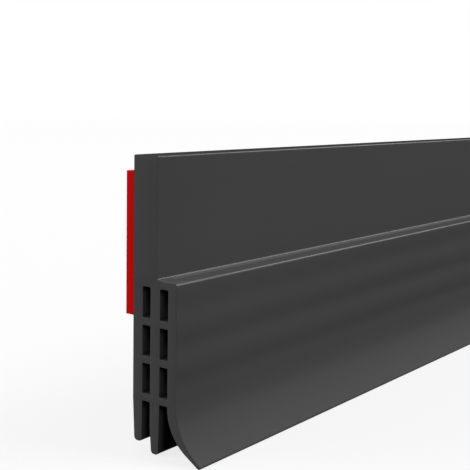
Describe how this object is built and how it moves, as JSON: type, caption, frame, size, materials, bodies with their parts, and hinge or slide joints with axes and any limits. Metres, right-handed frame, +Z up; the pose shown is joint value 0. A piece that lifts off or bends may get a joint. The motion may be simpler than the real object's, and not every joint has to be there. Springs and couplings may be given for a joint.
{
  "type": "under-door draught stopper",
  "caption": "Soft extruded strip that sticks to the foot of a door and closes the gap under it with hanging fins and a flared sweeping blade.",
  "frame": {"origin": "middle of the tape's sticky face, the face that lies on the door", "axes": "+X along the strip, +Y into the door, +Z up; the room is towards -Y, and the floor line that the blade sweeps is 35.5 mm below the origin"},
  "size_m": [1, 0.0168, 0.0503],
  "materials": {
    "strip_rubber": "satin charcoal grey, smooth from the extrusion die",
    "tape_red": "plain red double-sided adhesive tape"
  },
  "bodies": {
    "root": {"sweep_profile": "strip_rubber", "adhesive_tape": "tape_red"}
  },
  "joints": []
}
